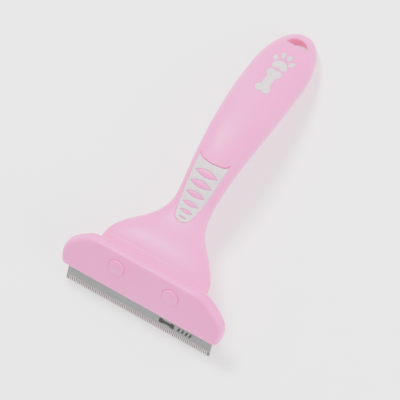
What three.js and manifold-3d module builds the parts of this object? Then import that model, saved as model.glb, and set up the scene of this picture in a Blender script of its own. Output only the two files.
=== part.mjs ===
// A deshedding comb for dogs and cats: a toothed steel blade clamped in a wide head,
// on an arched, hollow, two-shell handle with soft grey inlays and a hanging slot.
// Millimetres. X runs along the blade, Y from the teeth to the handle's tip, Z is up.
// The tool lies as it rests: on its tooth tips and on the underside of the tip.

import * as THREE from 'three';
import { mergeVertices } from 'three/addons/utils/BufferGeometryUtils.js';
import { LoftGeometry } from 'three/addons/geometries/LoftGeometry.js';
import Module from 'manifold-3d';

const wasm = await Module();
wasm.setup();

// ---------------------------------------------------------------- driving dimensions

const GAP = 0.3;

// Cutting solids reach this far past whatever they cut.
const FAR = 100;

const BLADE_ANGLE = THREE.MathUtils.degToRad(58.9);
const BLADE_WIDTH = 91.2;
const BLADE_THICKNESS = 1.2;
const BLADE_EXPOSED = 11.6;
const BLADE_HIDDEN = 24.5;
const BLADE_CORNER = 0.8;
const BLADE_SHOULDER_IN = 8;
const BLADE_SHOULDER_DOWN = 10;
const TOOTH_COUNT = 76;
const TOOTH_PITCH = 1.15;
const TOOTH_LENGTH = 4;
const TOOTH_ROOT = 0.62;
const TOOTH_TIP = 0.36;
const GROUND_LENGTH = 4.5;
const GROUND_TIP = 0.5;

// Head: the plane of the blade's front face is its reference plane.
const HEAD_EDGE_Y = 0.6;
const HEAD_FRONT = 4;
const HEAD_BACK = -3.3;
const HEAD_BOTTOM = 1.8;
const HEAD_TOP = 31;
const HEAD_ROUND = 3;
const HEAD_ROUND_IN = 2.4;
const HEAD_CORNER = [[46.4, HEAD_BOTTOM], [49.4, HEAD_BOTTOM], [49.9, 5]];
const HEAD_SIDE = [HEAD_CORNER[2], [50.8, 9.5], [50.1, 14.3]];
const HEAD_LOBE = [
  HEAD_SIDE[2], [48.7, 17.9], [45.5, 22.2], [41.3, 26.1], [36.4, 29.5], [30, HEAD_TOP],
];
const HEAD_PARTING = -BLADE_THICKNESS / 2;
const HANDLE_END = -1.8;
const HEAD_CLEAR_Y = 30;

// Blade screws: they bear on the front cover's floor, under round caps.
const SCREW_X = 17;
const SCREW_T = 20.5;
const SCREW_RADIUS = 1.6;
const SCREW_HEAD_RADIUS = 3.5;
const SCREW_HEAD_HEIGHT = 1.1;
const SCREW_LENGTH = 7.4;
const SCREW_FLOOR = 1;
const BLADE_HOLE_RADIUS = 2.2;
const CAP_RADIUS = 4.8;
const CAP_SEAT_DEPTH = 1.3;
const CAP_BELOW = 0.7;
const CAP_RIM = 0.3;
const CAP_RISE = 1.3;

// Handle: each table gives a value at a distance y from the teeth's side of the head.
const WALL = 2.6;
const HANDLE_START = 8;
const SOCKET_END = 60;
const SQUARENESS = 2.4;
const SPINE_HEIGHT = [
  [8, 26.6], [19.6, 29.4], [29.1, 30.8], [41, 26.4], [52.3, 24.6], [58.1, 24.7],
  [73.9, 28.7], [84.6, 30.3], [95.8, 30.2], [107.3, 28.5], [130.8, 22.5],
  [154.8, 13.2], [166.9, 7.6], [177.1, 2.9],
];
const HALF_WIDTH = [
  [8, 33.2], [19.6, 33.5], [23.9, 32.8], [29.1, 30], [35, 25.1], [41, 19.6],
  [46.5, 15.3], [52.3, 12.6], [58.1, 11.3], [63.3, 11.1], [84.6, 13],
  [107.3, 15.2], [130.8, 16.6], [146, 16.6],
];
const HALF_THICKNESS = [
  [8, 5.4], [19.6, 6.8], [29.1, 6.6], [41, 7.2], [52.3, 7.9], [84.6, 9.2],
  [107.3, 9.8], [130.8, 9.2], [146, 8.5],
];
const TIP_START = 146;
const TIP_LENGTH = 31.1;
const HOLLOW_START = 30;
const HOLLOW_END = 158;
const HANDLE_SCREWS = [44, 98, 147];
const HANDLE_SCREW_RADIUS = 1.4;
const HANDLE_SCREW_HEAD = 2.8;
const HANDLE_SCREW_HEAD_HEIGHT = 1.6;
const HANDLE_SCREW_LENGTH = 6.4;
const HANDLE_SCREW_SEAT = 3;
const HANDLE_SCREW_DEPTH = 4;
const BOSS_RADIUS = 4.4;

// Hanging slot: a half ellipse with its straight side towards the head.
const SLOT_Y = 167.4;
const SLOT_HALF_WIDTH = 6.3;
const SLOT_HEIGHT = 5;
const SLOT_FACETS = 9;

// Soft inlays: how far they sit under the handle's surface, and their thickness.
const INLAY_SINK = 0.1;
const INLAY_DEPTH = 0.9;
const GRIP_SINK = 0.3;
const GRIP_DEPTH = 1.3;
const GRIP_RIBS = [
  { y: 49.2, width: 4.4, height: 0.9 },
  { y: 52.9, width: 7.6, height: 1.9 },
  { y: 57.6, width: 9.8, height: 2.3 },
  { y: 63.1, width: 11.4, height: 2.9 },
  { y: 69.1, width: 12.9, height: 3.7 },
  { y: 75.3, width: 14, height: 3.9 },
];
const PAW_Y = 153;
const PAW_TOES = [
  { x: -5, y: 1.9, tilt: 0.5 },
  { x: -1.8, y: 5, tilt: 0.15 },
  { x: 1.8, y: 5, tilt: -0.15 },
  { x: 5, y: 1.9, tilt: -0.5 },
];
const BONE_Y = 139.5;
const BONE_LENGTH = 16.5;

// ---------------------------------------------------------------- materials

function plastic(name, color, roughness) {
  return new THREE.MeshStandardMaterial({ name, color, roughness, metalness: 0 });
}

function metal(name, color, roughness) {
  return new THREE.MeshStandardMaterial({ name, color, roughness, metalness: 1 });
}

// ---------------------------------------------------------------- solids

function toSolid(geometry) {
  const bare = new THREE.BufferGeometry().copy(geometry);
  bare.deleteAttribute('normal');
  bare.deleteAttribute('uv');
  const merged = mergeVertices(bare, 1e-4);
  const vertProperties = new Float32Array(merged.attributes.position.array);
  const triVerts = new Uint32Array(merged.index.array);
  return new wasm.Manifold(new wasm.Mesh({ numProp: 3, vertProperties, triVerts }));
}

function toGeometry(solid) {
  const mesh = solid.getMesh();
  const geometry = new THREE.BufferGeometry();
  geometry.setAttribute('position', new THREE.BufferAttribute(mesh.vertProperties, 3));
  geometry.setIndex(new THREE.BufferAttribute(mesh.triVerts, 1));
  geometry.computeVertexNormals();
  return geometry;
}

function piece(name, solid, material) {
  const mesh = new THREE.Mesh(toGeometry(solid), material);
  mesh.name = name;
  return mesh;
}

function box(width, depth, height, x, y, z) {
  const geometry = new THREE.BoxGeometry(width, depth, height);
  geometry.translate(x, y, z);
  return toSolid(geometry);
}

// An upright round bar from one height to another.
function bar(radius, low, high, x = 0, y = 0, sides = 20) {
  const geometry = new THREE.CylinderGeometry(radius, radius, high - low, sides);
  geometry.rotateX(Math.PI / 2);
  geometry.translate(x, y, (low + high) / 2);
  return toSolid(geometry);
}

// A turned piece about the Z axis: its outline's [radius, height] points run from low to high.
function turned(outline, sides = 24) {
  const points = outline.map(([radius, height]) => new THREE.Vector2(radius, height));
  const geometry = new THREE.LatheGeometry(points, sides);
  geometry.rotateX(Math.PI / 2);
  return toSolid(geometry);
}

// An outline of [y, z] points, extruded both ways along X.
function acrossX(outline) {
  const shape = new THREE.Shape(outline.map(([y, z]) => new THREE.Vector2(y, z)));
  const geometry = new THREE.ExtrudeGeometry(shape, { depth: FAR, bevelEnabled: false });
  geometry.translate(0, 0, -FAR / 2);
  const yzx = new THREE.Matrix4().set(0, 0, 1, 0, 1, 0, 0, 0, 0, 1, 0, 0, 0, 0, 0, 1);
  return toSolid(geometry.applyMatrix4(yzx));
}

// A solid moved by a matrix.
function moved(solid, matrix) {
  return toSolid(toGeometry(solid).applyMatrix4(matrix));
}

// A flat outline in the XY plane, raised along Z.
function raised(shape, low, high, curveSegments = 5) {
  const geometry = new THREE.ExtrudeGeometry(shape, {
    depth: high - low,
    bevelEnabled: false,
    curveSegments,
  });
  geometry.translate(0, 0, low);
  return toSolid(geometry);
}

// ---------------------------------------------------------------- handle form

// A smooth curve through the table's [y, value] points.
function along(table, y) {
  const last = table.length - 1;
  let i = 1;
  while (i < last && y > table[i][0]) {
    i += 1;
  }
  const slopeAt = (k) => {
    const [y0, v0] = table[Math.max(k - 1, 0)];
    const [y1, v1] = table[Math.min(k + 1, last)];
    return (v1 - v0) / (y1 - y0);
  };
  const [y0, v0] = table[i - 1];
  const [y1, v1] = table[i];
  const span = y1 - y0;
  const f = (y - y0) / span;
  const rise = v1 - v0;
  const a = slopeAt(i - 1) * span - rise;
  const b = rise - slopeAt(i) * span;
  return v0 + f * rise + f * (1 - f) * (a * (1 - f) + b * f);
}

function spineSlope(y) {
  const step = 0.5;
  const low = along(SPINE_HEIGHT, y - step);
  const high = along(SPINE_HEIGHT, y + step);
  return Math.atan2(high - low, 2 * step);
}

// Half width and half thickness, closing as a rounded end past the tip's start.
function halfSizes(y) {
  const past = Math.max(0, (y - TIP_START) / TIP_LENGTH);
  const inside = Math.min(y, TIP_START);
  return [
    along(HALF_WIDTH, inside) * Math.sqrt(1 - past ** 2),
    along(HALF_THICKNESS, inside) * Math.sqrt(1 - past ** 4),
  ];
}

// One ring of the handle, square to its spine and pulled in all round by inset.
function handleRing(y, inset, points) {
  const [halfWidth, halfThickness] = halfSizes(y);
  const slope = spineSlope(y);
  const height = along(SPINE_HEIGHT, y);
  const square = (v) => Math.sign(v) * Math.abs(v) ** (2 / SQUARENESS);
  const ring = [];
  for (let j = 0; j < points; j += 1) {
    const angle = (j / points) * 2 * Math.PI;
    const across = Math.max(halfWidth - inset, 0.2) * square(Math.cos(angle));
    const up = -Math.max(halfThickness - inset, 0.2) * square(Math.sin(angle));
    ring.push(new THREE.Vector3(across, y - up * Math.sin(slope), height + up * Math.cos(slope)));
  }
  return ring;
}

function handleStations(from, to) {
  const stations = [];
  for (let y = from; y < Math.min(to, 60); y += 4) {
    stations.push(y);
  }
  for (let y = 60; y < Math.min(to, TIP_START) - 4; y += 8) {
    stations.push(y);
  }
  for (let turn = 0; turn <= 84; turn += 12) {
    const y = TIP_START + TIP_LENGTH * Math.sin(THREE.MathUtils.degToRad(turn));
    if (y < to) {
      stations.push(y);
    }
  }
  return stations;
}

function handleForm(inset, from = HANDLE_START, to = TIP_START + TIP_LENGTH, points = 24) {
  const sections = handleStations(from, to).map((y) => handleRing(y, inset, points));
  return toSolid(new LoftGeometry(sections, { capStart: true, capEnd: true }));
}

// Everything on the front side (+1) or the rear side (-1) of the spine.
function sideOfSpine(side) {
  const parting = side * (GAP / 2);
  const outline = [[HANDLE_START - FAR, along(SPINE_HEIGHT, HANDLE_START) + parting]];
  for (let y = HANDLE_START; y < TIP_START + TIP_LENGTH; y += 4) {
    outline.push([y, along(SPINE_HEIGHT, y) + parting]);
  }
  outline.push([2 * FAR, parting - 2], [2 * FAR, side * FAR], [HANDLE_START - FAR, side * FAR]);
  return acrossX(outline);
}

// ---------------------------------------------------------------- head form

// The head's own frame: X along the blade, Y up the blade, Z out of its front face.
const HEAD_EDGE_Z = BLADE_EXPOSED * Math.sin(BLADE_ANGLE)
  + BLADE_THICKNESS * Math.cos(BLADE_ANGLE);
const headPlace = new THREE.Matrix4()
  .makeTranslation(0, HEAD_EDGE_Y, HEAD_EDGE_Z)
  .multiply(new THREE.Matrix4().makeRotationX(BLADE_ANGLE));

function headOutline() {
  const [low, corner, cornerEnd] = HEAD_CORNER;
  const [, side, sideEnd] = HEAD_SIDE;
  const right = HEAD_LOBE.map(([x, t]) => new THREE.Vector2(x, t));
  const left = HEAD_LOBE.map(([x, t]) => new THREE.Vector2(-x, t)).reverse();
  const shape = new THREE.Shape();
  shape.moveTo(-low[0], low[1]);
  shape.lineTo(low[0], low[1]);
  shape.quadraticCurveTo(corner[0], corner[1], cornerEnd[0], cornerEnd[1]);
  shape.quadraticCurveTo(side[0], side[1], sideEnd[0], sideEnd[1]);
  shape.splineThru(right.slice(1));
  shape.lineTo(left[0].x, left[0].y);
  shape.splineThru(left.slice(1));
  shape.quadraticCurveTo(-side[0], side[1], -cornerEnd[0], cornerEnd[1]);
  shape.quadraticCurveTo(-corner[0], corner[1], -low[0], low[1]);
  return shape;
}

function headSlab() {
  const geometry = new THREE.ExtrudeGeometry(headOutline(), {
    depth: HEAD_FRONT - HEAD_BACK - 2 * HEAD_ROUND,
    bevelThickness: HEAD_ROUND,
    bevelSize: HEAD_ROUND_IN,
    bevelOffset: -HEAD_ROUND_IN,
    bevelSegments: 4,
    curveSegments: 4,
  });
  geometry.translate(0, 0, HEAD_BACK + HEAD_ROUND);
  return toSolid(geometry);
}

// The blade's outline above the given height, grown all round; its shoulders slope in.
function bladeBody(shape, low, grow) {
  const half = BLADE_WIDTH / 2 + grow;
  const top = BLADE_HIDDEN + grow;
  shape.moveTo(half, low);
  shape.lineTo(half, top - BLADE_SHOULDER_DOWN);
  shape.lineTo(half - BLADE_SHOULDER_IN, top);
  shape.lineTo(BLADE_SHOULDER_IN - half, top);
  shape.lineTo(-half, top - BLADE_SHOULDER_DOWN);
  shape.lineTo(-half, low);
  return shape;
}

function bladePocket() {
  const shape = bladeBody(new THREE.Shape(), -FAR, GAP);
  shape.closePath();
  return raised(shape, -BLADE_THICKNESS - GAP, GAP);
}

// The head's front (+1) or rear (-1) side of its parting plane.
function sideOfParting(side) {
  return box(2 * FAR, 2 * FAR, FAR, 0, 0, HEAD_PARTING + side * (GAP / 2 + FAR / 2));
}

function atScrews(make) {
  return make(-SCREW_X, SCREW_T).add(make(SCREW_X, SCREW_T));
}

function headFrontCover() {
  const capFloor = HEAD_FRONT - CAP_SEAT_DEPTH;
  const capSeats = atScrews((x, t) => bar(CAP_RADIUS + GAP, capFloor, FAR, x, t, 32));
  const screwSeats = atScrews((x, t) => bar(SCREW_HEAD_RADIUS + GAP, SCREW_FLOOR, FAR, x, t));
  const holes = atScrews((x, t) => bar(SCREW_RADIUS + GAP, -FAR, FAR, x, t));
  return headSlab()
    .intersect(sideOfParting(1))
    .subtract(bladePocket())
    .subtract(capSeats)
    .subtract(screwSeats)
    .subtract(holes);
}

// The rear cover wraps the handle's flared end, which plugs into it.
function headRearCover() {
  const socket = moved(handleForm(-GAP, HANDLE_START, SOCKET_END), headPlace.clone().invert());
  return headSlab().intersect(sideOfParting(-1)).subtract(bladePocket()).subtract(socket);
}

// ---------------------------------------------------------------- blade and its fixings

function bladeOutline() {
  const half = BLADE_WIDTH / 2;
  const tip = -BLADE_EXPOSED;
  const root = tip + TOOTH_LENGTH;
  const first = -((TOOTH_COUNT - 1) * TOOTH_PITCH) / 2;
  const landEnd = first - TOOTH_PITCH + TOOTH_ROOT / 2;
  const shape = bladeBody(new THREE.Shape(), tip + BLADE_CORNER, 0);
  shape.lineTo(-half + BLADE_CORNER, tip);
  shape.lineTo(landEnd, tip);
  shape.lineTo(landEnd, root);
  for (let i = 0; i < TOOTH_COUNT; i += 1) {
    const x = first + i * TOOTH_PITCH;
    shape.lineTo(x - TOOTH_ROOT / 2, root);
    shape.lineTo(x - TOOTH_TIP / 2, tip);
    shape.lineTo(x + TOOTH_TIP / 2, tip);
    shape.lineTo(x + TOOTH_ROOT / 2, root);
  }
  shape.lineTo(-landEnd, root);
  shape.lineTo(-landEnd, tip);
  shape.lineTo(half - BLADE_CORNER, tip);
  shape.closePath();
  return shape;
}

// The wedge that grinding takes off the front of the teeth.
function groundWedge() {
  const start = GROUND_LENGTH - BLADE_EXPOSED;
  const slope = (BLADE_THICKNESS - GROUND_TIP) / GROUND_LENGTH;
  const run = GROUND_LENGTH + 1;
  return acrossX([[start, 0], [start - run, -run * slope], [start - run, FAR], [start, FAR]]);
}

function blade() {
  const holes = atScrews((x, t) => bar(BLADE_HOLE_RADIUS, -FAR, FAR, x, t));
  return raised(bladeOutline(), -BLADE_THICKNESS, 0).subtract(groundWedge()).subtract(holes);
}

// Head at the top, shank pointing down the Z axis, with a hexagonal drive socket.
function screw(headRadius, headHeight, shankRadius, shankLength) {
  const chamfer = 0.3;
  const point = 1;
  const body = turned([
    [0, -shankLength], [shankRadius, point - shankLength], [shankRadius, 0], [headRadius, 0],
    [headRadius, headHeight - chamfer], [headRadius - chamfer, headHeight], [0, headHeight],
  ]);
  return body.subtract(bar(headRadius * 0.45, headHeight * 0.4, FAR, 0, 0, 6));
}

function screwCap() {
  const foot = CAP_RADIUS - CAP_RIM;
  const outline = [
    [0, -CAP_BELOW], [foot, -CAP_BELOW], [CAP_RADIUS, CAP_RIM - CAP_BELOW], [CAP_RADIUS, CAP_RIM],
  ];
  for (let turn = 25; turn < 90; turn += 20) {
    const angle = THREE.MathUtils.degToRad(turn);
    const radius = CAP_RADIUS * Math.cos(angle) ** 0.8;
    outline.push([radius, CAP_RIM + (CAP_RISE - CAP_RIM) * Math.sin(angle)]);
  }
  outline.push([0, CAP_RISE]);
  return turned(outline, 32);
}

// ---------------------------------------------------------------- inlays

// Its upper corners are drawn out to thin points, so growing it lifts them further.
function gripOutline(grow) {
  const side = 9.3 + grow;
  const corner = 84.6 + 4 * grow;
  const shape = new THREE.Shape();
  shape.moveTo(-side, corner);
  shape.quadraticCurveTo(-8.3 - grow, 60, -4.3 - grow, 48.5);
  shape.quadraticCurveTo(0, 44.5 - 2 * grow, 4.3 + grow, 48.5);
  shape.quadraticCurveTo(8.3 + grow, 60, side, corner);
  shape.quadraticCurveTo(8.3 - grow, 82.7 + grow, 6.5, 82.2 + grow);
  shape.quadraticCurveTo(0, 80.4 + grow, -6.5, 82.2 + grow);
  shape.quadraticCurveTo(-8.3 + grow, 82.7 + grow, -side, corner);
  return shape;
}

function ribOutline(rib, grow) {
  const half = rib.width / 2 + 2 * grow;
  const bow = rib.height + 2 * grow;
  const shape = new THREE.Shape();
  shape.moveTo(-half, rib.y);
  shape.quadraticCurveTo(0, rib.y - bow, half, rib.y);
  shape.quadraticCurveTo(0, rib.y + bow, -half, rib.y);
  return shape;
}

function toeOutline(toe, grow) {
  const shape = new THREE.Shape();
  shape.absellipse(toe.x, PAW_Y + toe.y, 1.35 + grow, 2.1 + grow, 0, 2 * Math.PI, false, toe.tilt);
  return shape;
}

function pawPadOutline(grow) {
  const shape = new THREE.Shape();
  shape.moveTo(0, PAW_Y - 3.4 - grow);
  shape.bezierCurveTo(3, PAW_Y - 5.4 - grow, 5.8 + grow, PAW_Y - 3.6, 4 + grow, PAW_Y - 1);
  shape.bezierCurveTo(2.6, PAW_Y + 2 + grow, -2.6, PAW_Y + 2 + grow, -4 - grow, PAW_Y - 1);
  shape.bezierCurveTo(-5.8 - grow, PAW_Y - 3.6, -3, PAW_Y - 5.4 - grow, 0, PAW_Y - 3.4 - grow);
  return shape;
}

// A bone lying along the handle: a bar between two pairs of round knuckles.
function boneOutline(grow) {
  const knuckle = 2.5 + grow;
  const reach = BONE_LENGTH / 2 - 2.5;
  const quarter = Math.PI / 2;
  const shape = new THREE.Shape();
  shape.absarc(2, BONE_Y + reach, knuckle, -quarter * 0.8, quarter * 1.4, false);
  shape.absarc(-2, BONE_Y + reach, knuckle, quarter * 0.6, quarter * 2.8, false);
  shape.absarc(-2, BONE_Y - reach, knuckle, quarter * 1.2, quarter * 3.4, false);
  shape.absarc(2, BONE_Y - reach, knuckle, quarter * 2.6, quarter * 4.8, false);
  shape.closePath();
  return shape;
}

// A layer of the handle's front under the given outline, between two insets.
function layer(shape, outerInset, floorInset, front) {
  return raised(shape, 0, FAR)
    .intersect(front)
    .intersect(handleForm(outerInset))
    .subtract(handleForm(floorInset));
}

function pocket(shape, floorInset) {
  return raised(shape, 0, FAR).subtract(handleForm(floorInset));
}

function gripInlay(front) {
  let inlay = layer(gripOutline(0), GRIP_SINK, GRIP_SINK + GRIP_DEPTH, front);
  for (const rib of GRIP_RIBS) {
    inlay = inlay.subtract(raised(ribOutline(rib, GAP), 0, FAR));
  }
  return inlay;
}

function gripPocket() {
  let opening = pocket(gripOutline(GAP), GRIP_SINK + GRIP_DEPTH + GAP);
  for (const rib of GRIP_RIBS) {
    opening = opening.subtract(raised(ribOutline(rib, 0), 0, FAR));
  }
  return opening;
}

function motifOutlines(grow) {
  const outlines = { bone_inlay: boneOutline(grow), paw_pad_inlay: pawPadOutline(grow) };
  PAW_TOES.forEach((toe, index) => {
    outlines[`paw_toe_inlay_${index + 1}`] = toeOutline(toe, grow);
  });
  return outlines;
}

// ---------------------------------------------------------------- handle shells

function slotOutline() {
  const shape = new THREE.Shape();
  shape.moveTo(-SLOT_HALF_WIDTH, SLOT_Y);
  shape.lineTo(SLOT_HALF_WIDTH, SLOT_Y);
  for (let i = 1; i < SLOT_FACETS; i += 1) {
    const angle = (i / SLOT_FACETS) * Math.PI;
    const x = SLOT_HALF_WIDTH * Math.cos(angle);
    shape.lineTo(x, SLOT_Y + SLOT_HEIGHT * Math.sin(angle));
  }
  shape.closePath();
  return shape;
}

// Moves a solid made about the Z axis onto the spine, square to it.
function onSpine(solid, y) {
  const turn = new THREE.Matrix4().makeRotationX(spineSlope(y));
  return moved(solid, turn.setPosition(0, y, along(SPINE_HEIGHT, y)));
}

// All that the handle may fill: what is behind the head's lower part or past the head.
function handleSpace() {
  const behindHead = box(2 * FAR, 2 * FAR, FAR, 0, 0, HANDLE_END - FAR / 2);
  const pastHead = box(2 * FAR, 2 * FAR, 2 * FAR, 0, FAR + HEAD_CLEAR_Y, 0);
  return moved(behindHead, headPlace).add(pastHead);
}

function bladeScrewHoles() {
  const low = SCREW_FLOOR + GAP - SCREW_LENGTH - GAP;
  const holes = atScrews((x, t) => bar(SCREW_RADIUS + GAP, low, FAR, x, t));
  return moved(holes, headPlace);
}

function handleShell(side) {
  const hollow = handleForm(WALL, HOLLOW_START, HOLLOW_END, 20);
  let shell = handleForm(0).subtract(hollow);
  for (const y of HANDLE_SCREWS) {
    const boss = onSpine(bar(BOSS_RADIUS, -FAR, FAR, 0, 0, 16), y);
    shell = shell.add(boss.intersect(handleForm(WALL / 2)));
  }
  return shell
    .intersect(sideOfSpine(side))
    .intersect(handleSpace())
    .subtract(bladeScrewHoles())
    .subtract(raised(slotOutline(), -FAR, FAR));
}

// A handle screw's hole: its shank's, and a wider one up to its seat from the rear.
function handleScrewHole(y) {
  const shank = bar(HANDLE_SCREW_RADIUS + GAP, -FAR, HANDLE_SCREW_DEPTH, 0, 0, 16);
  const seat = bar(HANDLE_SCREW_HEAD + GAP, -FAR, -HANDLE_SCREW_SEAT, 0, 0, 16);
  return onSpine(shank.add(seat), y);
}

function handleFrontShell() {
  let shell = handleShell(1).subtract(gripPocket());
  for (const outline of Object.values(motifOutlines(GAP))) {
    shell = shell.subtract(pocket(outline, INLAY_SINK + INLAY_DEPTH + GAP));
  }
  return HANDLE_SCREWS.reduce((rest, y) => rest.subtract(handleScrewHole(y)), shell);
}

function handleRearShell() {
  return HANDLE_SCREWS.reduce((rest, y) => rest.subtract(handleScrewHole(y)), handleShell(-1));
}

// ---------------------------------------------------------------- assembly

function headAssembly(colours) {
  const head = new THREE.Group();
  head.applyMatrix4(headPlace);
  head.add(piece('blade', blade(), colours.steel()));
  head.add(piece('head_front_cover', headFrontCover(), colours.pink()));
  head.add(piece('head_rear_cover', headRearCover(), colours.pink()));
  for (const [side, x] of [['left', -SCREW_X], ['right', SCREW_X]]) {
    const fixing = screw(SCREW_HEAD_RADIUS, SCREW_HEAD_HEIGHT, SCREW_RADIUS, SCREW_LENGTH);
    const screwMesh = piece(`blade_screw_${side}`, fixing, colours.screw());
    screwMesh.position.set(x, SCREW_T, SCREW_FLOOR + GAP);
    const capMesh = piece(`screw_cap_${side}`, screwCap(), colours.pink());
    capMesh.position.set(x, SCREW_T, HEAD_FRONT);
    head.add(screwMesh, capMesh);
  }
  return head;
}

function handleScrewPiece(y, index, material) {
  const fixing = screw(
    HANDLE_SCREW_HEAD, HANDLE_SCREW_HEAD_HEIGHT, HANDLE_SCREW_RADIUS, HANDLE_SCREW_LENGTH,
  );
  const mesh = piece(`handle_screw_${index + 1}`, fixing, material);
  const slope = spineSlope(y);
  const below = HANDLE_SCREW_SEAT + GAP;
  const height = along(SPINE_HEIGHT, y) - below * Math.cos(slope);
  mesh.position.set(0, y + below * Math.sin(slope), height);
  mesh.rotation.x = slope + Math.PI;
  return mesh;
}

function handleAssembly(colours) {
  const handle = new THREE.Group();
  const front = sideOfSpine(1);
  handle.add(piece('handle_front_shell', handleFrontShell(), colours.pink()));
  handle.add(piece('handle_rear_shell', handleRearShell(), colours.pink()));
  handle.add(piece('grip_inlay', gripInlay(front), colours.grey()));
  for (const [name, outline] of Object.entries(motifOutlines(0))) {
    const motif = layer(outline, INLAY_SINK, INLAY_SINK + INLAY_DEPTH, front);
    handle.add(piece(name, motif, colours.grey()));
  }
  HANDLE_SCREWS.forEach((y, index) => handle.add(handleScrewPiece(y, index, colours.screw())));
  return handle;
}

const colours = {
  pink: () => plastic('pink_plastic', 0xf2b1d6, 0.5),
  grey: () => plastic('grey_inlay', 0xdcd5d7, 0.7),
  steel: () => metal('blade_steel', 0xa4a4a2, 0.35),
  screw: () => metal('screw_steel', 0xb9bcc0, 0.35),
};

const tool = new THREE.Group();
tool.add(headAssembly(colours), handleAssembly(colours));

// The origin is under the middle of the whole tool.
const extent = new THREE.Box3().setFromObject(tool, true);
tool.position.y = -(extent.min.y + extent.max.y) / 2;

export default tool;
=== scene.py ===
"""A pink deshedding comb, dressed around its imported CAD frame. Metres, in the CAD's own frame."""

import math

import bmesh
import bpy
import numpy as np
from mathutils import Matrix, Vector, geometry


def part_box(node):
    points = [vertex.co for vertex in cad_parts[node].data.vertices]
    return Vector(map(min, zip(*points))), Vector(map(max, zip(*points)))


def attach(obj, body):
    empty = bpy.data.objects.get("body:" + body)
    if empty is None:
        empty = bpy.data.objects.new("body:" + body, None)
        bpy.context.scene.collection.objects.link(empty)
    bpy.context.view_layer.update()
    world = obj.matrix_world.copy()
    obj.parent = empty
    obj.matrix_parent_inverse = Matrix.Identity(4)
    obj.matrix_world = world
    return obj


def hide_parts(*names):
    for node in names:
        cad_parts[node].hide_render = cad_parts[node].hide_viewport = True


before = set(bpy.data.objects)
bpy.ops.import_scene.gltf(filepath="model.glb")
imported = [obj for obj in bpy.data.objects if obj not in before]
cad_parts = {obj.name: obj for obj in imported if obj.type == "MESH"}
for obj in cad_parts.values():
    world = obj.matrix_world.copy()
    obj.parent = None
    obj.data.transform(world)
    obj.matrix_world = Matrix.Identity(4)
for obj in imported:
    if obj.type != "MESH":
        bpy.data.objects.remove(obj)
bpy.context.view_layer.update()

MM = 0.001

# ---------------------------------------------------------------- the tool's form, in mm

# The head's plane is the blade's front face: x along the blade, t up it, n out of it.
BLADE_ANGLE = math.radians(58.9)
BLADE_HIDDEN = 24.5
BLADE_THICKNESS = 1.2
BLADE_EXPOSED = 11.6
GROUND_LENGTH = 4.5
TOOTH_LENGTH = 4
EDGE_Y = 0.6
EDGE_Z = BLADE_EXPOSED * math.sin(BLADE_ANGLE) + BLADE_THICKNESS * math.cos(BLADE_ANGLE)
HEAD_FRONT = 4.0
HEAD_BACK = -3.3
HEAD_BOTTOM = 1.8
HEAD_TOP = 31
HEAD_ROUND = 3.0
HEAD_ROUND_REAR = 2.1
HEAD_ROUND_IN = 2.4
HEAD_PARTING = -0.6
SEAM = 0.06
SEAM_STEPS = [(0.22, 0), (0.05, 0.12), (0, 0.3)]
HEAD_CREST = 0.7
CREST_FROM = 27.5
CREST_BLEND = 2.5
CREST_REACH = 38
CREST_FADE = 10
CAP_RADIUS = 4.8
CAP_SEAT_RADIUS = 5.0
CAP_RISE = 1.28
CAP_SHOULDER = 0.7
SHOULDER_START = HEAD_FRONT + 0.1
LOBE = [(50.1, 14.3), (48.7, 17.9), (45.5, 22.2), (41.3, 26.1), (36.4, 29.5), (30, HEAD_TOP)]

# Handle: values at distances y from the head's edge, as in the CAD part.
SQUARENESS = 2.4
SPINE_HEIGHT = [
    (8, 26.6), (19.6, 29.4), (29.1, 30.8), (41, 26.4), (52.3, 24.6), (58.1, 24.7),
    (73.9, 28.7), (84.6, 30.3), (95.8, 30.2), (107.3, 28.5), (130.8, 22.5),
    (154.8, 13.2), (166.9, 7.6), (177.1, 2.9),
]
HALF_WIDTH = [
    (8, 33.2), (19.6, 33.5), (23.9, 32.8), (29.1, 30), (35, 25.1), (41, 19.6),
    (46.5, 15.3), (52.3, 12.6), (58.1, 11.3), (63.3, 11.1), (84.6, 13),
    (107.3, 15.2), (130.8, 16.6), (146, 16.6),
]
HALF_THICKNESS = [
    (8, 5.4), (19.6, 6.8), (29.1, 6.6), (41, 7.2), (52.3, 7.9), (84.6, 9.2),
    (107.3, 9.8), (130.8, 9.2), (146, 8.5),
]
TIP_START = 146
TIP_LENGTH = 31.03
HANDLE_START = 13.5
HANDLE_SEAM_DEPTH = 0.16
HANDLE_SEAM_WIDTH = 0.28
PARTING_LIFT = 0.03
HANDLE_SCREWS = (44, 98, 147)
SCREW_SEAT = 3.3
SCREW_RECESS = 3.1
SCREW_HOLE = 1.7
SLOT_Y = 167.4
SLOT_HALF_WIDTH = 6.3
SLOT_HEIGHT = 5
SLOT_LIP = 0.9

# Where the handle's front swells up to meet the head's crest, and its faint witness line.
FILLET_START = 14.8
FILLET_LENGTH = 5.0
FILLET_RISE = 1.2
WITNESS_Y = 23.4
WITNESS_DEPTH = 0.14
WITNESS_WIDTH = 0.45

# Grip inlay and its ribs: y along the handle, width across it, height along it.
GRIP_SINK = 0.4
GRIP_GAP = 0.42
GRIP_POCKET = 1.3
GRIP_RIPPLE = 0.25
RIPPLE_END = 82.5
GRIP_RIBS = [
    (49.2, 4.4, 0.9), (52.9, 7.6, 1.9), (57.6, 9.8, 2.3),
    (63.1, 11.4, 2.9), (69.1, 12.9, 3.7), (75.3, 14, 3.9),
]
MOTIF_GAP = 0.1
MOTIF_POCKET = 0.8
POCKET_EDGE = 0.3
PAW_Y = 153
PAW_TOES = [(-5, 1.9, 0.5), (-1.8, 5, 0.15), (1.8, 5, -0.15), (5, 1.9, -0.5)]
BONE_Y = 139.5
TOE_WIDTH = 1.35
TOE_HEIGHT = 2.1
BONE_LENGTH = 16.5
BONE_KNUCKLE = 2.5
BONE_KNUCKLE_X = 2

SMOOTH_ANGLE = 35

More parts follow.
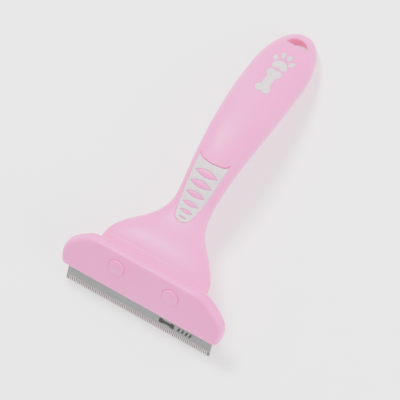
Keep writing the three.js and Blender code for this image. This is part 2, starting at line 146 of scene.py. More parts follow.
# The camera: the width it sees, and where it aims from the middle of the head's edge.
VIEW_WIDTH = 216.8
VIEW_RIGHT = 32.37
VIEW_RISE = 56.08
VIEW_LENS = 450

# The tables' y = 0 in the frame, found from the blade's rear top edge.
edge_in_frame = (
    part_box("blade")[1].y / MM
    - BLADE_HIDDEN * math.cos(BLADE_ANGLE)
    - BLADE_THICKNESS * math.sin(BLADE_ANGLE)
)
SHIFT = edge_in_frame - EDGE_Y


# ---------------------------------------------------------------- curves

def along(table, y):
    """A smooth curve through the table's (y, value) points, at every y of an array."""
    ys = np.array([p[0] for p in table], float)
    vs = np.array([p[1] for p in table], float)
    slopes = np.gradient(vs, ys)
    slopes[1:-1] = (vs[2:] - vs[:-2]) / (ys[2:] - ys[:-2])
    y = np.atleast_1d(np.asarray(y, float))
    i = np.clip(np.searchsorted(ys, y, side="left"), 1, len(ys) - 1)
    span = ys[i] - ys[i - 1]
    f = (y - ys[i - 1]) / span
    rise = vs[i] - vs[i - 1]
    a = slopes[i - 1] * span - rise
    b = rise - slopes[i] * span
    return vs[i - 1] + f * rise + f * (1 - f) * (a * (1 - f) + b * f)


FINE_STEP = 0.25
FINE_Y = np.arange(8, 177.2, FINE_STEP)


def eased(table, radius=3.0):
    """The table's curve at FINE_Y, with its changes of curvature blurred over radius."""
    values = along(table, np.minimum(FINE_Y, table[-1][0]))
    reach = int(2.5 * radius / FINE_STEP)
    offsets = np.arange(-reach, reach + 1) * FINE_STEP
    weights = np.exp(-0.5 * (offsets / radius) ** 2)
    slope_low = values[1] - values[0]
    slope_high = values[-1] - values[-2]
    before = values[0] + slope_low * np.arange(-reach, 0)
    after = values[-1] + slope_high * np.arange(1, reach + 1)
    padded = np.concatenate([before, values, after])
    return np.convolve(padded, weights / weights.sum(), mode="valid")


SPINE = eased(SPINE_HEIGHT)
SLOPE = np.arctan(np.gradient(SPINE, FINE_Y))
WIDTHS = eased(HALF_WIDTH, 2.0)
THICKS = eased(HALF_THICKNESS)


def handle_sizes(y):
    """Half width, half thickness, spine height and spine slope at each y."""
    past = np.clip((y - TIP_START) / TIP_LENGTH, 0, 0.9995)
    wide = np.interp(np.minimum(y, TIP_START), FINE_Y, WIDTHS) * np.sqrt(1 - past**2)
    thick = np.interp(np.minimum(y, TIP_START), FINE_Y, THICKS) * np.sqrt(1 - past**4)
    return wide, thick, np.interp(y, FINE_Y, SPINE), np.interp(y, FINE_Y, SLOPE)


def handle_point(y, angle, inset):
    """Points of the handle's surface in the frame, in mm; angle 0 is its right edge."""
    wide, thick, height, slope = handle_sizes(y)
    cosine, sine = np.cos(angle), np.sin(angle)
    power = 2 / SQUARENESS
    x = np.maximum(wide - inset, 0.05) * np.sign(cosine) * np.abs(cosine) ** power
    up = np.maximum(thick - inset, 0.05) * np.sign(sine) * np.abs(sine) ** power
    return np.stack([x, y - up * np.sin(slope) + SHIFT, height + up * np.cos(slope)], -1)


def over_handle(xy, inset):
    """The points of the handle's front, pulled in by inset, above plan points (x, y)."""
    x, y = xy[:, 0], xy[:, 1]
    station = y.copy()
    for _ in range(12):
        wide, thick, height, slope = handle_sizes(station)
        share = np.clip(np.abs(x) / (wide - inset), 0, 0.995)
        up = (thick - inset) * (1 - share**SQUARENESS) ** (1 / SQUARENESS)
        station = y + up * np.sin(slope)
    return np.stack([x, y + SHIFT, height + up * np.cos(slope)], -1)


HEAD_PLACE = Matrix.Translation((0, (EDGE_Y + SHIFT) * MM, EDGE_Z * MM)) @ Matrix.Rotation(
    BLADE_ANGLE, 4, "X"
)


def on_head(points):
    """Head points (x, t, n) in mm as frame points in metres."""
    return [HEAD_PLACE @ (Vector(p) * MM) for p in points]


# ---------------------------------------------------------------- outlines, in mm

def arc(cx, cy, radius, start, end, count):
    angles = np.linspace(start, end, count)
    return np.stack([cx + radius * np.cos(angles), cy + radius * np.sin(angles)], -1)


def bezier(*points, count=24):
    """A quadratic or cubic curve without its last point."""
    f = np.linspace(0, 1, count, endpoint=False)[:, None]
    p = [np.array(q, float) for q in points]
    if len(p) == 3:
        return (1 - f) ** 2 * p[0] + 2 * f * (1 - f) * p[1] + f**2 * p[2]
    return (
        (1 - f) ** 3 * p[0]
        + 3 * f * (1 - f) ** 2 * p[1]
        + 3 * f**2 * (1 - f) * p[2]
        + f**3 * p[3]
    )


def resampled(points, spacing):
    """The closed outline with points evenly spaced along it."""
    closed = np.vstack([points, points[:1]])
    steps = np.linalg.norm(np.diff(closed, axis=0), axis=1)
    travel = np.concatenate([[0], np.cumsum(steps)])
    count = max(12, int(round(travel[-1] / spacing)))
    at = np.linspace(0, travel[-1], count, endpoint=False)
    return np.stack([np.interp(at, travel, closed[:, k]) for k in (0, 1)], -1)


def head_outline():
    right = np.array(LOBE)
    spans = []
    points = np.vstack([right[:1] * 2 - right[1:2], right, right[-1:] * 2 - right[-2:-1]])
    for i in range(1, len(right)):
        p0, p1, p2, p3 = points[i - 1 : i + 3]
        spans.append(bezier(p1, p1 + (p2 - p0) / 6, p2 - (p3 - p1) / 6, p2, count=16))
    lobe = np.vstack(spans)
    rise = np.vstack([
        bezier((46.4, HEAD_BOTTOM), (49.4, HEAD_BOTTOM), (49.9, 5), count=16),
        bezier((49.9, 5), (50.78, 9.5), (50.1, 14.3), count=16),
    ])
    top = bezier((30, HEAD_TOP), (0, HEAD_TOP), (-30, HEAD_TOP), count=60)
    side = np.vstack([rise, lobe])
    mirrored = np.vstack([[(-30, HEAD_TOP)], side[::-1] * (-1, 1)])
    return resampled(np.vstack([side, top, mirrored]), 0.9)


def grip_outline(grow=0.0):
    """The thumb inlay, with its thin upper corners lifted further as it grows."""
    g = grow
    side, corner = 9.3 + g, 84.6 + 4 * g
    return np.vstack([
        bezier((-side, corner), (-8.3 - g, 60), (-4.3 - g, 48.5), count=60),
        bezier((-4.3 - g, 48.5), (0, 44.5 - 2 * g), (4.3 + g, 48.5), count=24),
        bezier((4.3 + g, 48.5), (8.3 + g, 60), (side, corner), count=60),
        bezier((side, corner), (8.3 - g, 82.7 + g), (6.5, 82.2 + g), count=14),
        bezier((6.5, 82.2 + g), (0, 80.4 + g), (-6.5, 82.2 + g), count=30),
        bezier((-6.5, 82.2 + g), (-8.3 + g, 82.7 + g), (-side, corner), count=14),
    ])


def rib_outline(rib, grow=0.0):
    y, width, height = rib
    half, bow = width / 2 + 2 * grow, height + 2 * grow
    return np.vstack([
        bezier((-half, y), (0, y - bow), (half, y), count=24),
        bezier((half, y), (0, y + bow), (-half, y), count=24),
    ])


def toe_outline(toe, grow=0.0):
    x, y, tilt = toe
    angles = np.linspace(0, 2 * math.pi, 32, endpoint=False)
    across = (TOE_WIDTH + grow) * np.cos(angles)
    up = (TOE_HEIGHT + grow) * np.sin(angles)
    cosine, sine = math.cos(tilt), math.sin(tilt)
    return np.stack([
        x + across * cosine - up * sine,
        PAW_Y + y + across * sine + up * cosine,
    ], -1)


def pad_outline(grow=0.0):
    g, y = grow, PAW_Y
    return np.vstack([
        bezier((0, y - 3.4 - g), (3, y - 5.4 - g), (5.8 + g, y - 3.6), (4 + g, y - 1)),
        bezier((4 + g, y - 1), (2.6, y + 2 + g), (-2.6, y + 2 + g), (-4 - g, y - 1)),
        bezier((-4 - g, y - 1), (-5.8 - g, y - 3.6), (-3, y - 5.4 - g), (0, y - 3.4 - g)),
    ])


def bone_outline(grow=0.0):
    knuckle, quarter = BONE_KNUCKLE + grow, math.pi / 2
    reach = BONE_LENGTH / 2 - BONE_KNUCKLE
    corners = [(1, 1, -0.8, 1.4), (-1, 1, 0.6, 2.8), (-1, -1, 1.2, 3.4), (1, -1, 2.6, 4.8)]
    return np.vstack([
        arc(side * BONE_KNUCKLE_X, BONE_Y + end * reach, knuckle, start * quarter, stop * quarter, 22)
        for side, end, start, stop in corners
    ])


def motifs(grow=0.0):
    shapes = {"bone_inlay": bone_outline(grow), "paw_pad_inlay": pad_outline(grow)}
    for index, toe in enumerate(PAW_TOES):
        shapes[f"paw_toe_inlay_{index + 1}"] = toe_outline(toe, grow)
    return shapes


def edge_distance(points, outline):
    """Each point's distance to a closed outline, positive inside it."""
    start, end = outline, np.roll(outline, -1, axis=0)
    best = np.full(len(points), np.inf)
    inside = np.zeros(len(points), bool)
    for (ax, ay), (bx, by) in zip(start, end):
        dx, dy = bx - ax, by - ay
        length = dx * dx + dy * dy
        if length < 1e-12:
            continue
        f = np.clip(((points[:, 0] - ax) * dx + (points[:, 1] - ay) * dy) / length, 0, 1)
        gap = np.hypot(points[:, 0] - ax - f * dx, points[:, 1] - ay - f * dy)
        best = np.minimum(best, gap)
        if dy != 0:
            crosses = (ay > points[:, 1]) != (by > points[:, 1])
            at = ax + (points[:, 1] - ay) * dx / dy
            inside ^= crosses & (points[:, 0] < at)
    return np.where(inside, best, -best)


def step_up(value, width):
    """0 below zero, 1 above width, smooth between."""
    f = np.clip(value / width, 0, 1)
    return f * f * (3 - 2 * f)


# ---------------------------------------------------------------- mesh making

def make_object(name, vertices, faces, smooth=True):
    mesh = bpy.data.meshes.new(name)
    mesh.from_pydata([tuple(v) for v in vertices], [], faces)
    mesh.validate()
    if smooth:
        mesh.polygons.foreach_set("use_smooth", [True] * len(mesh.polygons))
    mesh.update()
    obj = bpy.data.objects.new(name, mesh)
    bpy.context.scene.collection.objects.link(obj)
    return obj


def outward(obj):
    """Turns every face of a closed mesh to point out."""
    work = bmesh.new()
    work.from_mesh(obj.data)
    bmesh.ops.recalc_face_normals(work, faces=work.faces)
    work.to_mesh(obj.data)
    work.free()
    return obj


def ring_solid(name, rings, smooth=True):
    """A closed piece whose wall joins rings of equal length, its first and last ring filled."""
    count = len(rings[0])
    vertices = [v for ring in rings for v in ring]
    faces = []
    for start in range(0, len(vertices) - count, count):
        for j in range(count):
            k = (j + 1) % count
            faces.append((start + j, start + k, start + count + k, start + count + j))
    faces.append(tuple(range(count)))
    faces.append(tuple(range(len(vertices) - count, len(vertices))))
    return outward(make_object(name, vertices, faces, smooth))


def finish_piece(obj, material, slot, *replaced):
    obj.data.materials.clear()
    obj.data.materials.append(material)
    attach(obj, "root")
    if replaced:
        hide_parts(*replaced)
    return obj


def apply_modifiers(obj):
    depsgraph = bpy.context.evaluated_depsgraph_get()
    mesh = bpy.data.meshes.new_from_object(obj.evaluated_get(depsgraph))
    obj.modifiers.clear()
    obj.data = mesh


def cut(obj, *cutters):
    """Cuts closed meshes out of a piece."""
    for cutter in cutters:
        change = obj.modifiers.new("cut", "BOOLEAN")
        change.operation = "DIFFERENCE"
        change.solver = "EXACT"
        change.object = cutter
        bpy.context.view_layer.update()
        apply_modifiers(obj)
        bpy.data.objects.remove(cutter)


def smooth_by_angle(obj, degrees):
    obj.data.polygons.foreach_set("use_smooth", [True] * len(obj.data.polygons))
    obj.data.set_sharp_from_angle(angle=math.radians(degrees))


# ---------------------------------------------------------------- handle

def shell_angles(count):
    """Angles over the front half, evenly spaced on the surface, closer at the seam."""
    fine = np.linspace(0, math.pi, 2001)
    power = 2 / SQUARENESS
    aspect = 1.5
    x = aspect * np.sign(np.cos(fine)) * np.abs(np.cos(fine)) ** power
    z = np.abs(np.sin(fine)) ** power
    travel = np.concatenate([[0], np.cumsum(np.hypot(np.diff(x), np.diff(z)))])
    share = np.linspace(0, 1, count)
    near = np.array([0.002, 0.005, 0.009])
    share = np.unique(np.concatenate([share, near, 1 - near]))
    return np.interp(share * travel[-1], travel, fine)


def shell_stations():
    straight = np.arange(HANDLE_START, TIP_START, 0.4)
    turns = np.radians(np.linspace(0, 88.2, 130))
    return np.concatenate([straight, TIP_START + TIP_LENGTH * np.sin(turns)])


def pocket_depths(plan):
    """How far the front shell is sunk under its inlays at plan points (x, y)."""
    sunk = np.zeros(len(plan))
    pockets = [(grip_outline(GRIP_GAP), GRIP_POCKET)]
    pockets += [(shape, MOTIF_POCKET) for shape in motifs(MOTIF_GAP).values()]
    for shape, depth in pockets:
        low, high = shape.min(0) - 1, shape.max(0) + 1
        near = ((plan > low) & (plan < high)).all(1)
        here = depth * step_up(edge_distance(plan[near], shape), POCKET_EDGE)
        sunk[near] = np.maximum(sunk[near], here)
    return sunk


def slot_outline(grow=0.0, count=40):
    unit = arc(0, 0, 1, 0, math.pi, count)
    return unit * (SLOT_HALF_WIDTH + grow, SLOT_HEIGHT + grow) + (0, SLOT_Y)


def slot_rounding(plan):
    """The soft lip round the hanging slot: how far the surface is pulled in there."""
    near = plan[:, 1] > SLOT_Y - 4
    lip = np.zeros(len(plan))
    distance = -edge_distance(plan[near], slot_outline())
    close = np.clip(1 - distance / SLOT_LIP, 0, 1)
    lip[near] = SLOT_LIP * (1 - np.sqrt(1 - np.minimum(close, 0.97) ** 2)) * (distance > -2)
    return lip


def front_swell(y, angle):
    """How far the front rises to the head's crest, less the witness line."""
    share = np.clip((y - FILLET_START) / FILLET_LENGTH, 0, 1)
    ease = (1 - share) ** 2 * (1 + 2 * share)
    rise = FILLET_RISE * ease * np.abs(np.sin(angle)) ** 0.7
    line = WITNESS_DEPTH * np.exp(-(((y - WITNESS_Y) / WITNESS_WIDTH) ** 2))
    return rise - line * step_up(np.abs(np.sin(angle)) - 0.45, 0.3)


def handle_half(name, side):
    """One half of the handle as a closed piece: +1 is its front, -1 its rear."""
    stations = shell_stations()
    angles = shell_angles(110) * side
    grid_y, grid_a = np.meshgrid(stations, angles, indexing="ij")
    shape = grid_y.shape
    flat_y, flat_a = grid_y.ravel(), grid_a.ravel()
    plain = handle_point(flat_y, flat_a, 0.0)
    plan = plain[:, :2] - (0, SHIFT)
    _, thick, _, slope = handle_sizes(flat_y)
    from_seam = np.abs(np.sin(flat_a)) ** (2 / SQUARENESS) * thick
    seam = HANDLE_SEAM_DEPTH * np.exp(-((from_seam / HANDLE_SEAM_WIDTH) ** 2))
    inset = seam + slot_rounding(plan)
    if side > 0:
        inset = inset + pocket_depths(plan)
    points = handle_point(flat_y, flat_a, inset)
    if side > 0:
        swell = front_swell(flat_y, flat_a)
        points[:, 1] -= swell * np.sin(slope)
        points[:, 2] += swell * np.cos(slope)
    points = points.reshape(*shape, 3)
    points[:, 0, 2] += side * PARTING_LIFT
    points[:, -1, 2] += side * PARTING_LIFT
    rings = []
    for row in points:
        closing = [row[-1] + (row[0] - row[-1]) * f for f in np.linspace(0, 1, 9)[1:-1]]
        rings.append([p * MM for p in list(row) + closing])
    return ring_solid(name, rings)


def slot_cutter():
    rings = [
        [(x * MM, (y + SHIFT) * MM, level) for x, y in slot_outline(count=60)]
        for level in (-0.02, 0.05)
    ]
    return ring_solid("slot_cutter", rings)


def screw_cutter(y):
    """A stepped hole, square to the spine, from the rear up to the screw's head."""
    thick, height, slope = (float(v[0]) for v in handle_sizes(np.array([float(y)]))[1:])
    place = Matrix.Translation((0, (y + SHIFT) * MM, height * MM)) @ Matrix.Rotation(
        slope, 4, "X"
    )
    mouth = SCREW_RECESS + 0.5
    outline = [
        (mouth, -thick - 3), (mouth, -thick - 0.1), (SCREW_RECESS, -thick + 0.45),
        (SCREW_RECESS, -SCREW_SEAT), (SCREW_HOLE, -SCREW_SEAT), (SCREW_HOLE, 4),
    ]
    turn = np.linspace(0, 2 * math.pi, 48, endpoint=False)
    rings = [
        [place @ (Vector((radius * math.cos(a), radius * math.sin(a), level)) * MM) for a in turn]
        for radius, level in outline
    ]
    return ring_solid("screw_cutter", rings)


# ---------------------------------------------------------------- patches on the handle

def triangulated(outline, holes, spacing, edge_round):
    """Plan points, triangles and edge distances of an outline with holes."""
    loops = [outline] + holes
    points = [p for loop in loops for p in loop]
    edges = []
    start = 0
    for loop in loops:
        count = len(loop)
        edges += [(start + k, start + (k + 1) % count) for k in range(count)]
        start += count
    low, high = outline.min(0), outline.max(0)
    xs = np.arange(low[0] + spacing / 2, high[0], spacing)
    ys = np.arange(low[1] + spacing / 2, high[1], spacing)
    inner = np.array([(x + (row % 2) * spacing / 2, y) for row, y in enumerate(ys) for x in xs])
    ring_points = []
    for loop in loops:
        ahead = np.roll(loop, -1, 0) - np.roll(loop, 1, 0)
        normal = np.stack([ahead[:, 1], -ahead[:, 0]], -1)
        normal /= np.maximum(np.linalg.norm(normal, axis=1), 1e-9)[:, None]
        for share in (0.2, 0.5, 1.0):
            for sign in (-1, 1):
                ring_points.append(loop + normal * edge_round * share * sign)
    rings = np.vstack(ring_points)

    def depth_in(candidates):
        depth = edge_distance(candidates, outline)
        for hole in holes:
            depth = np.minimum(depth, -edge_distance(candidates, hole))
        return depth

    rings = rings[depth_in(rings) > edge_round * 0.15]
    inner = inner[depth_in(inner) > edge_round * 1.6]
    every = np.vstack([np.array(points), rings, inner])
    vertices, _, faces, _, _, _ = geometry.delaunay_2d_cdt(
        [Vector(p) for p in every], edges, [], 0, 1e-6
    )
    plan = np.array([tuple(v) for v in vertices])
    centres = np.array([plan[list(f)].mean(0) for f in faces])
    kept = [f for f, d in zip(faces, depth_in(centres)) if d > 0]
    return plan, kept, np.maximum(depth_in(plan), 0)


def grip_ripple(plan):
    """The grip's low waves, highest between its windows."""
    centres = [rib[0] for rib in GRIP_RIBS] + [RIPPLE_END]
    wave = np.zeros(len(plan))
    for low, high in zip(centres, centres[1:]):
        middle, spread = (low + high) / 2, (high - low) / 4
        wave += np.exp(-(((plan[:, 1] - middle) / spread) ** 2))
    return GRIP_RIPPLE * wave


def patch(name, outline, holes, top, thickness, spacing=0.7, edge_round=0.3, crown=0.0,
          relief=None):
    """A closed sheet following the handle's front, with its edges rounded over."""
    plan, triangles, depth = triangulated(outline, holes, spacing, edge_round)
    close = np.clip(1 - depth / edge_round, 0, 1)
    drop = edge_round * (1 - np.sqrt(1 - close**2))
    dome = crown * step_up(depth, max(depth.max(), 1e-6))
    if relief is not None:
        dome = dome + relief(plan) * step_up(depth, 0.8)
    upper = over_handle(plan, top + drop - dome)
    lower = over_handle(plan, np.full(len(plan), top + thickness))
    used = sorted({i for f in triangles for i in f})
    remap = {old: new for new, old in enumerate(used)}
    count = len(used)
    vertices = [tuple(upper[i] * MM) for i in used] + [tuple(lower[i] * MM) for i in used]
    faces = [tuple(remap[i] for i in f) for f in triangles]
    sides = {}
    for f in faces:
        for a, b in zip(f, f[1:] + f[:1]):
            sides[(a, b)] = sides.get((a, b), 0) + 1
    bottom = [tuple(i + count for i in reversed(f)) for f in faces]
    walls = [
        (a, a + count, b + count, b) for (a, b) in sides if (b, a) not in sides
    ]
    return outward(make_object(name, vertices, faces + bottom + walls))


def join(target, *others):
    """Adds the other objects' meshes to the target as loose parts of it."""
    work = bmesh.new()
    work.from_mesh(target.data)
    for other in others:
        work.from_mesh(other.data)
        bpy.data.objects.remove(other)
    work.to_mesh(target.data)
    work.free()
    return target


# ---------------------------------------------------------------- head

def inset_outline(outline, amount):
    ahead = np.roll(outline, -1, 0) - np.roll(outline, 1, 0)
    normal = np.stack([-ahead[:, 1], ahead[:, 0]], -1)
    normal /= np.linalg.norm(normal, axis=1)[:, None]
    return outline + normal * np.broadcast_to(amount, len(outline))[:, None]


def head_rings(outline, wall, rounding, face, crest):
    """Rings at the wall's and the round's (inset, n) levels; crest shrinks the round on top."""
    x, t = outline[:, 0], outline[:, 1]
    on_top = step_up(t - CREST_FROM, CREST_BLEND) * step_up(CREST_REACH - np.abs(x), CREST_FADE)
    share = 1 - (1 - crest) * on_top
    rings = []
    for levels, depth_share in ((wall, np.ones(len(outline))), (rounding, share)):
        for amount, n in levels:
            plan = inset_outline(outline, amount * share)
            depth = face - (face - n) * depth_share
            rings.append(on_head(np.column_stack([plan, depth])))
    return rings


def round_over(low, high, count, reach):
    """(inset, n) levels of a quarter round from a side wall at low to a face at high."""
    levels = []
    for turn in np.linspace(0, math.pi / 2, count):
        levels.append((reach * (1 - math.cos(turn)), low + (high - low) * math.sin(turn)))
    return levels


def cap_centres():
    """Both caps' (x, t) centres, from the left cap's place in the frame."""
    low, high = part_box("screw_cap_left")
    local = HEAD_PLACE.inverted() @ ((low + high) / 2)
    return [(local.x / MM, local.y / MM), (-local.x / MM, local.y / MM)]


def head_half(name, side, round_start, face, crest=1.0):
    """One cover of the head, from its seam out to its face: +1 is the front, -1 the rear."""
    wall = [(inset, HEAD_PARTING + side * (SEAM + step)) for inset, step in SEAM_STEPS]
    rounding = round_over(round_start, face, 12, HEAD_ROUND_IN)
    return ring_solid(name, head_rings(head_outline(), wall, rounding, face, crest))


def head_front():
    cover = head_half(
        "head_front_cover_shell", 1, HEAD_FRONT - HEAD_ROUND, HEAD_FRONT, HEAD_CREST
    )
    for x, t in cap_centres():
        cut(cover, turned_on_head("seat", x, t, [
            (CAP_SEAT_RADIUS, HEAD_FRONT - 1.2), (CAP_SEAT_RADIUS, HEAD_FRONT - 0.2),
            (CAP_SEAT_RADIUS + 0.3, HEAD_FRONT + 0.05), (CAP_SEAT_RADIUS + 0.3, HEAD_FRONT + 2),
        ]))
    smooth_by_angle(cover, SMOOTH_ANGLE)
    return cover


def head_rear():
    cover = head_half("head_rear_cover_shell", -1, HEAD_BACK + HEAD_ROUND_REAR, HEAD_BACK)
    smooth_by_angle(cover, SMOOTH_ANGLE)
    return cover


def turned_on_head(name, x, t, outline, sides=72):
    """A closed turned solid about the head's n axis at (x, t), from (radius, n) points."""
    turn = np.linspace(0, 2 * math.pi, sides, endpoint=False)
    rings = [
        on_head([(x + radius * math.cos(a), t + radius * math.sin(a), level) for a in turn])
        for radius, level in outline
    ]
    return ring_solid(name, rings)


def screw_cap(name, x, t):
    """A low domed cap with a rounded shoulder, sitting in its round seat."""
    outline = [
        (CAP_RADIUS - 0.2, HEAD_FRONT - 1), (CAP_RADIUS, HEAD_FRONT - 0.8),
        (CAP_RADIUS, SHOULDER_START),
    ]
    for turn in np.linspace(0, math.pi / 2, 12)[1:]:
        radius = CAP_RADIUS - CAP_SHOULDER * (1 - math.cos(turn))
        outline.append((radius, SHOULDER_START + CAP_SHOULDER * math.sin(turn)))
    dome_start = SHOULDER_START + CAP_SHOULDER
    dome_rise = HEAD_FRONT + CAP_RISE - dome_start
    for share in np.linspace(0, 1, 14)[1:]:
        radius = max((CAP_RADIUS - CAP_SHOULDER) * (1 - share), 0.02)
        outline.append((radius, dome_start + dome_rise * math.sin(share * math.pi / 2)))
    return turned_on_head(name, x, t, outline)


def etched_shapes():
    """A bone and four slanting bars, lying along the blade, as head (x, t) outlines."""
    bone = (bone_outline() - (0, BONE_Y))[:, ::-1] * (-0.6, 0.42) + (17.5, -3.8)
    bars = [
        np.array([(x, -5.3), (x + 1.3, -5.3), (x + 2.1, -2.3), (x + 0.8, -2.3)])
        for x in (24.2, 26.6, 29, 31.4)
    ]
    return [bone] + bars


def etched_marks(low=-0.02, high=0.03):
    pieces = []
    for index, shape in enumerate(etched_shapes()):
        rings = [on_head([(x, t, n) for x, t in shape]) for n in (low, high)]
        pieces.append(ring_solid(f"etched_{index}", rings, smooth=False))
    return join(*pieces)


# ---------------------------------------------------------------- materials

def linear(*srgb):
    """Linear colour from 0-255 sRGB values."""
    out = []
    for value in srgb:
        v = value / 255
        out.append(v / 12.92 if v <= 0.04045 else ((v + 0.055) / 1.055) ** 2.4)
    return (*out, 1.0)


class Nodes:
    """A short way to lay out one material's nodes."""

    def __init__(self, name):
        self.material = bpy.data.materials.new(name)
        self.material.use_nodes = True
        self.tree = self.material.node_tree
        self.shader = self.tree.nodes["Principled BSDF"]

    def add(self, kind):
        return self.tree.nodes.new(kind)

    def link(self, out, into):
        self.tree.links.new(out, into)

    def place(self, scale=(1, 1, 1), turn=(0, 0, 0)):
        """Object coordinates, turned and then scaled."""
        source = self.add("ShaderNodeTexCoord")
        mapping = self.add("ShaderNodeMapping")
        mapping.vector_type = "TEXTURE"
        mapping.inputs["Rotation"].default_value = turn
        mapping.inputs["Scale"].default_value = [1 / s for s in scale]
        self.link(source.outputs["Object"], mapping.inputs["Vector"])
        return mapping.outputs["Vector"]

    def noise(self, where, scale, detail=3.0, roughness=0.5):
        node = self.add("ShaderNodeTexNoise")
        node.inputs["Scale"].default_value = scale
        node.inputs["Detail"].default_value = detail
        node.inputs["Roughness"].default_value = roughness
        self.link(where, node.inputs["Vector"])
        return node.outputs["Fac"]

    def ranged(self, value, low, high, from_low=0.3, from_high=0.7):
        node = self.add("ShaderNodeMapRange")
        node.inputs["From Min"].default_value = from_low
        node.inputs["From Max"].default_value = from_high
        node.inputs["To Min"].default_value = low
        node.inputs["To Max"].default_value = high
        self.link(value, node.inputs["Value"])
        return node.outputs["Result"]

    def mixed(self, factor, first, second):
        node = self.add("ShaderNodeMix")
        node.data_type = "RGBA"
        for socket, value in ((node.inputs[6], first), (node.inputs[7], second)):
            if isinstance(value, tuple):
                socket.default_value = value
            else:
                self.link(value, socket)
        self.link(factor, node.inputs[0])
        return node.outputs[2]

    def bumped(self, height, strength, distance):
        node = self.add("ShaderNodeBump")
        node.inputs["Strength"].default_value = strength
        node.inputs["Distance"].default_value = distance
        self.link(height, node.inputs["Height"])
        self.link(node.outputs["Normal"], self.shader.inputs["Normal"])

    def set(self, name, value):
        self.shader.inputs[name].default_value = value

    def feed(self, output, name):
        self.link(output, self.shader.inputs[name])


def pink_plastic():
    m = Nodes("pink_plastic_skin")
    where = m.place()
    broad = m.noise(where, 38, 2)
    fine = m.noise(where, 2600, 3)
    tint = m.mixed(m.ranged(broad, 0, 1), linear(251, 88, 188), linear(253, 96, 194))
    m.feed(tint, "Base Color")
    m.feed(m.ranged(m.noise(where, 900, 4), 0.4, 0.5), "Roughness")
    m.set("Sheen Weight", 0.12)
    m.set("Sheen Roughness", 0.4)
    m.set("Subsurface Weight", 0.15)
    m.set("Subsurface Radius", (1.0, 0.45, 0.6))
    m.set("Subsurface Scale", 0.0025)
    m.set("Specular IOR Level", 0.42)
    m.bumped(fine, 0.12, 0.00004)
    return m.material


def grey_inlay():
    m = Nodes("grey_inlay_skin")
    where = m.place()
    tint = m.mixed(m.ranged(m.noise(where, 160, 3), 0, 1), linear(206, 188, 196), linear(214, 198, 205))
    m.feed(tint, "Base Color")
    m.feed(m.ranged(m.noise(where, 1400, 4), 0.62, 0.78), "Roughness")
    m.set("Specular IOR Level", 0.3)
    m.bumped(m.noise(where, 4200, 4), 0.25, 0.00006)
    return m.material


def blade_steel():
    m = Nodes("blade_steel_skin")
    turn = (BLADE_ANGLE, 0, 0)
    along_blade = m.place((40, 3600, 3600), turn)
    up_blade = m.place((5200, 120, 3600), turn)
    streaks = m.noise(along_blade, 1, 4, 0.6)
    ground = m.noise(up_blade, 1, 3, 0.6)
    up = m.add("ShaderNodeVectorMath")
    up.operation = "DOT_PRODUCT"
    up.inputs[1].default_value = (0, math.cos(BLADE_ANGLE), math.sin(BLADE_ANGLE))
    source = m.add("ShaderNodeTexCoord")
    m.link(source.outputs["Object"], up.inputs[0])
    origin = HEAD_PLACE.translation
    level = origin.y * math.cos(BLADE_ANGLE) + origin.z * math.sin(BLADE_ANGLE)
    # The ground strip along the teeth is a real ground finish; its lighter tint is also a painted
    # reflection of the bright surroundings.
    line = level - (BLADE_EXPOSED - GROUND_LENGTH) * MM
    ground_and_reflection_zone = m.ranged(up.outputs["Value"], 1, 0, line - 0.00015, line + 0.00015)
    # Painted shade: the teeth are painted darker than the blade's flat, in place of the darker light
    # they reflect.
    roots = level - (BLADE_EXPOSED - TOOTH_LENGTH) * MM
    painted_teeth_shade_mask = m.ranged(up.outputs["Value"], 1, 0, roots - 0.0002, roots + 0.0001)
    flat_tint = m.mixed(m.ranged(streaks, 0, 1), linear(92, 93, 94), linear(110, 111, 111))
    ground_tint_and_painted_reflection = m.mixed(m.ranged(ground, 0, 1), linear(122, 122, 118), linear(140, 139, 134))
    painted_tooth_shade = m.mixed(m.ranged(ground, 0, 1), linear(86, 83, 75), linear(102, 99, 90))
    m.feed(m.mixed(painted_teeth_shade_mask, m.mixed(ground_and_reflection_zone, flat_tint, ground_tint_and_painted_reflection), painted_tooth_shade), "Base Color")
    m.set("Metallic", 1.0)
    m.feed(m.ranged(streaks, 0.3, 0.42), "Roughness")
    m.set("Anisotropic", 0.3)
    m.bumped(streaks, 0.1, 0.00002)
    return m.material


def screw_steel():
    m = Nodes("screw_steel_skin")
    where = m.place()
    tint = m.mixed(m.ranged(m.noise(where, 700, 3), 0, 1), linear(176, 178, 182), linear(200, 202, 206))
    m.feed(tint, "Base Color")
    m.set("Metallic", 1.0)
    m.feed(m.ranged(m.noise(where, 1800, 3), 0.25, 0.4), "Roughness")
    return m.material


def etched_mark():
    m = Nodes("etched_mark_skin")
    where = m.place()
    tint = m.mixed(m.ranged(m.noise(where, 2500, 3), 0, 1), linear(24, 21, 18), linear(40, 36, 32))
    m.feed(tint, "Base Color")
    m.set("Metallic", 0.1)
    m.set("Roughness", 0.7)
    return m.material


# ---------------------------------------------------------------- scene

def add_camera():
    """At the photograph's angle, with a long lens."""
    right = Vector((0.852, 0.5137, -0.1000)).normalized()
    rise = Vector((-0.468, 0.8331, 0.2953))
    rise = (rise - rise.dot(right) * right).normalized()
    back = right.cross(rise)
    edge = Vector((0, EDGE_Y + SHIFT, EDGE_Z))
    centre = edge + right * VIEW_RIGHT + rise * VIEW_RISE
    data = bpy.data.cameras.new("camera")
    data.lens = VIEW_LENS
    data.sensor_width = 36
    data.clip_start = 0.05
    camera = bpy.data.objects.new("camera", data)
    distance = VIEW_WIDTH * data.lens / data.sensor_width
    turn = Matrix((right, rise, back)).transposed().to_4x4()
    camera.matrix_world = Matrix.Translation((centre + back * distance) * MM) @ turn
    bpy.context.scene.collection.objects.link(camera)
    bpy.context.scene.camera = camera
    return right, rise, back, centre * MM


def add_light(name, position, target, size, power):
    data = bpy.data.lights.new(name, "AREA")
    data.shape = "DISK"
    data.size = size
    data.energy = power
    light = bpy.data.objects.new(name, data)
    aim = (Vector(target) - Vector(position)).to_track_quat("-Z", "Y")
    light.matrix_world = Matrix.Translation(position) @ aim.to_matrix().to_4x4()
    bpy.context.scene.collection.objects.link(light)


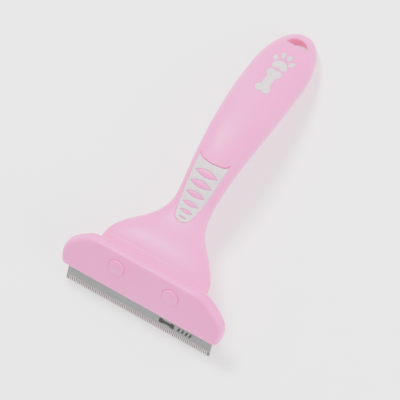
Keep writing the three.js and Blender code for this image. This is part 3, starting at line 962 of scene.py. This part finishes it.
def add_studio(right, rise, back, centre):
    """Soft white light and a pale floor; the key light comes from the top of the view."""
    world = bpy.data.worlds.new("studio")
    world.use_nodes = True
    background = world.node_tree.nodes["Background"]
    background.inputs["Color"].default_value = (1, 1, 1, 1)
    background.inputs["Strength"].default_value = 1.2
    bpy.context.scene.world = world
    key = centre - right * 0.25 + rise * 0.8 + back * 0.75
    fill = centre + right * 0.6 - rise * 0.3 + back * 0.7
    add_light("key_light", key, centre, 0.35, 24.0)
    add_light("fill_light", fill, centre, 0.8, 9.0)
    floor = make_object("floor", [(-4, -4, 0), (4, -4, 0), (4, 4, 0), (-4, 4, 0)], [(0, 1, 2, 3)])
    m = Nodes("floor_paper")
    where = m.place()
    grain = m.ranged(m.noise(where, 60, 2), 0, 1)
    m.feed(m.mixed(grain, (0.93, 0.93, 0.93, 1), (0.95, 0.95, 0.95, 1)), "Base Color")
    m.set("Roughness", 0.9)
    m.set("Emission Color", (1, 1, 1, 1))
    m.set("Emission Strength", 0.7)
    floor.data.materials.append(m.material)


# ---------------------------------------------------------------- build

pink = pink_plastic()
grey = grey_inlay()
steel = blade_steel()
screws = screw_steel()

front = handle_half("handle_front", 1)
rear = handle_half("handle_rear", -1)
cut(front, slot_cutter())
cut(rear, slot_cutter(), *[screw_cutter(y) for y in HANDLE_SCREWS])
ribs = [
    patch(f"rib_{index}", rib_outline(rib), [], top=GRIP_SINK + 0.1, thickness=1.1,
          spacing=0.5, edge_round=0.35, crown=0.3)
    for index, rib in enumerate(GRIP_RIBS)
]
join(front, *ribs)
smooth_by_angle(front, SMOOTH_ANGLE)
smooth_by_angle(rear, SMOOTH_ANGLE)
finish_piece(front, pink, "pink_plastic", "handle_front_shell")
finish_piece(rear, pink, "pink_plastic", "handle_rear_shell")

rib_holes = [rib_outline(rib, 0.1)[::-1] for rib in GRIP_RIBS]
grip = patch(
    "grip_panel", resampled(grip_outline(), 0.35), rib_holes, top=GRIP_SINK, thickness=1.0,
    relief=grip_ripple,
)
finish_piece(grip, grey, "grey_inlay", "grip_inlay")
for node, shape in motifs().items():
    motif = patch(node + "_cap", shape, [], top=0.04, thickness=0.8, spacing=0.6, edge_round=0.22)
    finish_piece(motif, grey, "grey_inlay", node)

finish_piece(head_front(), pink, "pink_plastic", "head_front_cover")
finish_piece(head_rear(), pink, "pink_plastic", "head_rear_cover")
for side, (x, t) in zip(("left", "right"), sorted(cap_centres())):
    cap = screw_cap(f"cap_{side}", x, t)
    smooth_by_angle(cap, 40)
    finish_piece(cap, pink, "pink_plastic", f"screw_cap_{side}")

marks = etched_marks()
marks.name = "blade_mark"
finish_piece(marks, etched_mark(), "blade_steel")

steel_nodes = {"blade": steel, "blade_screw_left": screws, "blade_screw_right": screws}
steel_nodes |= {f"handle_screw_{index + 1}": screws for index in range(len(HANDLE_SCREWS))}
for name, material in steel_nodes.items():
    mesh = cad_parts[name].data
    mesh.materials.clear()
    mesh.materials.append(material)

add_studio(*add_camera())
